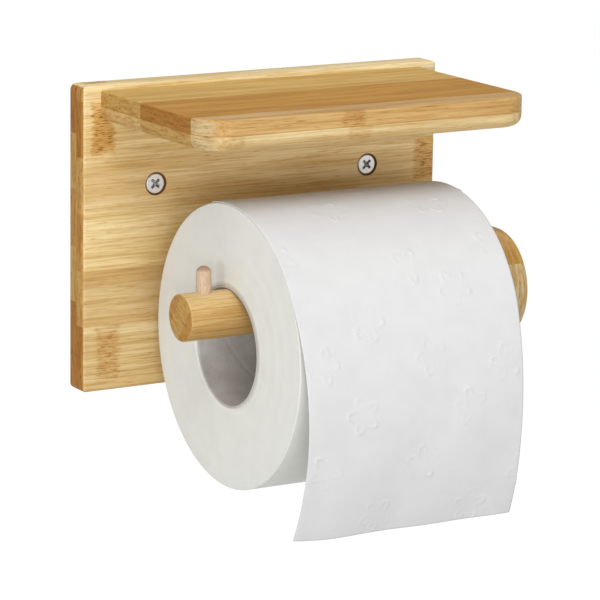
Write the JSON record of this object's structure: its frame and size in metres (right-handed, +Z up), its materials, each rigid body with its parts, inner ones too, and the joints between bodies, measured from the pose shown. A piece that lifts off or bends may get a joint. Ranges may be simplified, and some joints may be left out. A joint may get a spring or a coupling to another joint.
{
  "type": "toilet paper holder",
  "caption": "Wall-mounted bamboo paper holder: a back plate with a shelf and an open-ended rod on an arm, with a stop pin, carrying a roll of embossed paper whose loose end hangs in front.",
  "frame": {"origin": "centre of the back plate's rear face, on the wall's surface", "axes": "+Y into the wall, -Y to the front, +Z up, +X to the right as seen from the front"},
  "size_m": [0.16, 0.1621, 0.1552],
  "materials": {
    "bamboo": "clear satin lacquer, strips about 20 mm wide",
    "bamboo_dark": "clear satin lacquer",
    "bamboo_pale": "clear satin lacquer",
    "beech": "sanded, bare",
    "zinc_plated_steel": "bright zinc plate",
    "plain_steel": "plain steel",
    "cardboard": "grey recycled board, matt",
    "wound_paper": "soft white tissue, matt",
    "loose_paper": "soft white tissue with an embossed flower pattern, matt"
  },
  "bodies": {
    "holder": {"back_plate": "bamboo", "shelf_upper_ply": "bamboo_dark", "shelf_lower_ply": "bamboo_pale", "arm": "bamboo", "rod": "bamboo_pale", "stop_pin": "beech", "wall_screw_left": "zinc_plated_steel", "wall_screw_right": "zinc_plated_steel", "shelf_screw_left": "plain_steel", "shelf_screw_right": "plain_steel", "arm_screw_upper": "plain_steel", "arm_screw_lower": "plain_steel"},
    "loose_end": {"paper_sheet": "loose_paper"},
    "roll": {"roll_core": "cardboard", "roll_paper": "wound_paper"}
  },
  "joints": [
    {"name": "roll_shift", "type": "slide", "parent": "holder", "child": "loose_end", "axis": [1, 0, 0], "range_m": [-0.0068, 0.0157]},
    {"name": "roll_spin", "type": "hinge", "parent": "loose_end", "child": "roll", "pos_m": [-0.002, -0.07, -0.0321], "axis": [1, 0, 0], "continuous": true}
  ]
}
